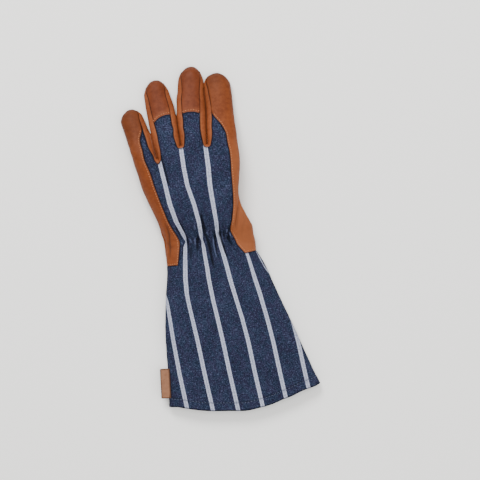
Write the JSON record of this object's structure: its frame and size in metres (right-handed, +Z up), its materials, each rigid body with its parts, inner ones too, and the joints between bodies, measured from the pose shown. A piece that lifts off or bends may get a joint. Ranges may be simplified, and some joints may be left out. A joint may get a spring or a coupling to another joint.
{
  "type": "rose pruning gauntlet",
  "caption": "Left-hand gardening gauntlet with leather palm, finger ends and thumb, a striped denim back gathered at the wrist, and a long flared denim cuff, lying palm down.",
  "frame": {"origin": "middle of the glove's extent, on the surface that it lies on", "axes": "+X to the thumb's side, +Y from the cuff to the fingertips, +Z up, out of the back of the hand"},
  "size_m": [0.2196, 0.3818, 0.0382],
  "materials": {
    "leather": "soft matt tan leather with a fine grain",
    "denim": "dark blue denim with pale grey woven stripes",
    "tab_leather": "pale brown stiff leather, bare"
  },
  "bodies": {
    "root": {"denim_back": "denim", "cuff_under": "denim", "palm": "leather", "cap_ring": "leather", "cap_middle": "leather", "sides_little_ring": "leather", "sides_ring_middle": "leather", "sides_middle_index": "leather", "thumb": "leather", "tip_patch_little": "leather", "tip_patch_ring": "leather", "tip_patch_middle": "leather", "tip_patch_index": "leather", "palm_pad": "leather", "tab": "tab_leather"}
  },
  "joints": []
}
